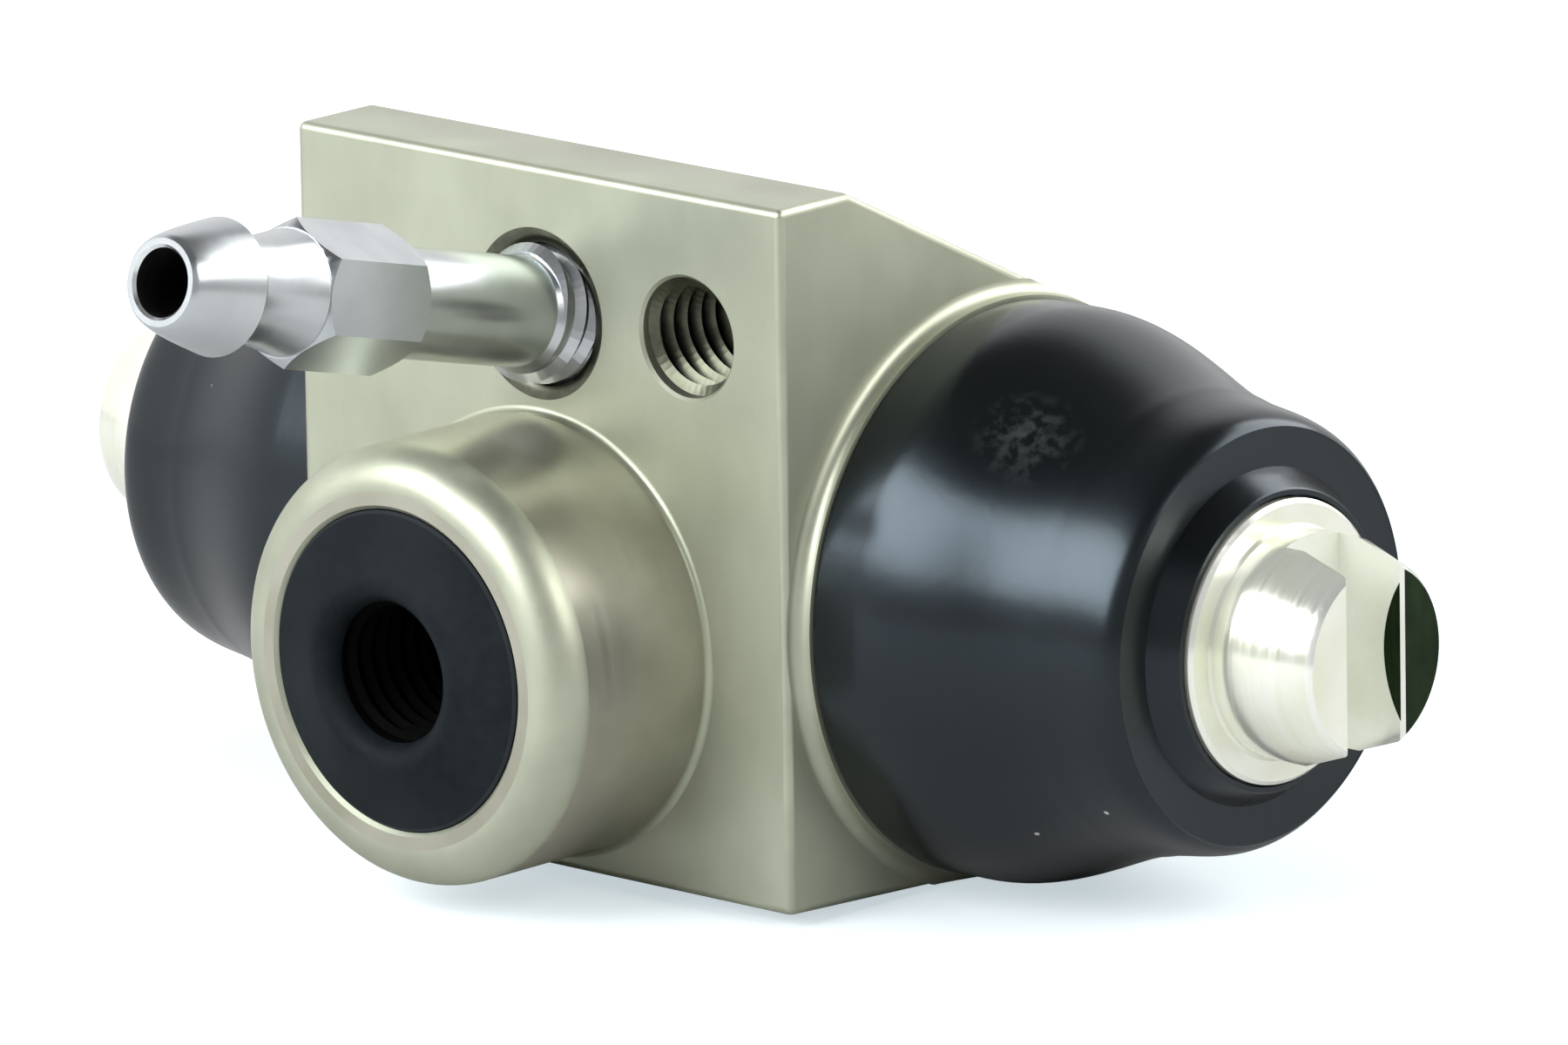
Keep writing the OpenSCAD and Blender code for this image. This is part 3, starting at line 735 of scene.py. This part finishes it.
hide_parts("inlet_plug")
# The ribs take the painted shade of the hole
plug_ribs = coiled("plug_ribs", BOSS_AXIS, 3.52, 3.4, 10.4, 7, (0.3, 0.4), plug_hole_painted_shade)
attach(plug_ribs, "housing")

# Studio: a pale floor that runs out to white and keeps the soft shadow under the cylinder, a
# white backdrop behind it, and soft lamps in front, behind, on the right and above.
floor_radius, floor_z = 0.6, -12.53 * MM
floor_mesh = bpy.data.meshes.new("floor")
shape = bmesh.new()
bmesh.ops.create_circle(
    shape, cap_ends=True, radius=floor_radius, segments=96, matrix=Matrix.Translation((0, 0, floor_z))
)
shape.to_mesh(floor_mesh)
shape.free()
floor_white = bpy.data.materials.new("floor_white")
floor_white.use_nodes = True
nodes, links = floor_white.node_tree.nodes, floor_white.node_tree.links
floor_shader = nodes["Principled BSDF"]
floor_shader.inputs["Base Color"].default_value = (0.6, 0.6, 0.6, 1)
floor_shader.inputs["Roughness"].default_value = 0.8
floor_shader.inputs["Emission Color"].default_value = (0.84, 0.95, 1.0, 1)
ray = nodes.new("ShaderNodeLightPath")
glow = nodes.new("ShaderNodeMath")
glow.operation = "MULTIPLY"
glow.inputs[1].default_value = 0.63
links.new(ray.outputs["Is Camera Ray"], glow.inputs[0])
links.new(glow.outputs["Value"], floor_shader.inputs["Emission Strength"])
floor = linked("floor", floor_mesh, (floor_white,))

world = bpy.data.worlds.new("studio")
bpy.context.scene.world = world
world.use_nodes = True
air = world.node_tree
sky = air.nodes["Background"]
sky.inputs["Color"].default_value = (0.95, 0.97, 1.0, 1)
sky.inputs["Strength"].default_value = 0.12
white = air.nodes.new("ShaderNodeBackground")
white.inputs["Strength"].default_value = 1
# The backdrop is white, the room in front of it and the ceiling are dim
way = air.nodes.new("ShaderNodeTexCoord")
upward = air.nodes.new("ShaderNodeSeparateXYZ")
backward = air.nodes.new("ShaderNodeVectorMath")
backward.operation = "DOT_PRODUCT"
backward.inputs[1].default_value = (-0.69, 0.72, 0)
room = air.nodes.new("ShaderNodeMapRange")
ceiling = air.nodes.new("ShaderNodeMapRange")
for step, dim, limits in ((room, 0.4, (0.1, -0.5)), (ceiling, 0.1, (0.56, 0.85))):
    step.interpolation_type = "SMOOTHSTEP"
    step.inputs["From Min"].default_value = limits[0]
    step.inputs["From Max"].default_value = limits[1]
    step.inputs["To Min"].default_value = 1
    step.inputs["To Max"].default_value = dim
shade = air.nodes.new("ShaderNodeMath")
shade.operation = "MULTIPLY"
air.links.new(way.outputs["Generated"], upward.inputs["Vector"])
air.links.new(way.outputs["Generated"], backward.inputs[0])
air.links.new(upward.outputs["Z"], ceiling.inputs["Value"])
air.links.new(backward.outputs["Value"], room.inputs["Value"])
air.links.new(room.outputs["Result"], shade.inputs[0])
air.links.new(ceiling.outputs["Result"], shade.inputs[1])
ray = air.nodes.new("ShaderNodeLightPath")
backdrop = air.nodes.new("ShaderNodeMath")
backdrop.operation = "MAXIMUM"
air.links.new(shade.outputs["Value"], backdrop.inputs[0])
air.links.new(ray.outputs["Is Camera Ray"], backdrop.inputs[1])
air.links.new(backdrop.outputs["Value"], white.inputs["Color"])
seen = air.nodes.new("ShaderNodeMath")
seen.operation = "MAXIMUM"
seen_too = air.nodes.new("ShaderNodeMath")
seen_too.operation = "MAXIMUM"
mixed = air.nodes.new("ShaderNodeMixShader")
air.links.new(ray.outputs["Is Camera Ray"], seen.inputs[0])
air.links.new(ray.outputs["Is Glossy Ray"], seen.inputs[1])
air.links.new(seen.outputs["Value"], seen_too.inputs[0])
air.links.new(ray.outputs["Is Transmission Ray"], seen_too.inputs[1])
air.links.new(seen_too.outputs["Value"], mixed.inputs[0])
air.links.new(sky.outputs["Background"], mixed.inputs[1])
air.links.new(white.outputs["Background"], mixed.inputs[2])
air.links.new(mixed.outputs["Shader"], air.nodes["World Output"].inputs["Surface"])


def softbox(name, place, width, height, brightness, tint):
    """An area lamp that faces the cylinder and that the camera doesn't see."""
    lamp = bpy.data.lights.new(name, "AREA")
    lamp.shape = "RECTANGLE"
    lamp.size = width
    lamp.size_y = height
    lamp.energy = brightness * math.pi * width * height
    lamp.color = tint
    holder = bpy.data.objects.new(name, lamp)
    bpy.context.scene.collection.objects.link(holder)
    holder.location = place
    holder.rotation_euler = (-Vector(place)).to_track_quat("-Z", "Y").to_euler()
    holder.visible_camera = False
    return holder


softbox("front_softbox", (-0.137, -0.397, 0.272), 0.43, 0.3, 8.8, (0.95, 0.98, 1.0))
softbox("back_softbox", (0.15, 0.37, 0.3), 0.4, 0.3, 4, (1.0, 1.0, 1.0))
softbox("right_softbox", (0.41, 0.07, 0.27), 0.25, 0.2, 5.5, (1.0, 1.0, 0.97))
softbox("top_softbox", (0, 0, 0.5), 0.4, 0.4, 1, (1.0, 1.0, 1.0)).visible_glossy = False

# Camera: a long lens from the front right and a little above, placed so that the outlines of
# the cylinder fall where they do in the photo.
lens = bpy.data.cameras.new("camera")
lens.sensor_width = 36
lens.lens = 470.5
lens.clip_start = 0.05
lens.clip_end = 20
camera = bpy.data.objects.new("camera", lens)
bpy.context.scene.collection.objects.link(camera)
camera.location = (0.672494, -0.707863, 0.242401)
camera.rotation_euler = (math.radians(76.3466), math.radians(0.9185), math.radians(42.6133))
bpy.context.scene.camera = camera
bpy.context.scene.view_settings.view_transform = "Standard"
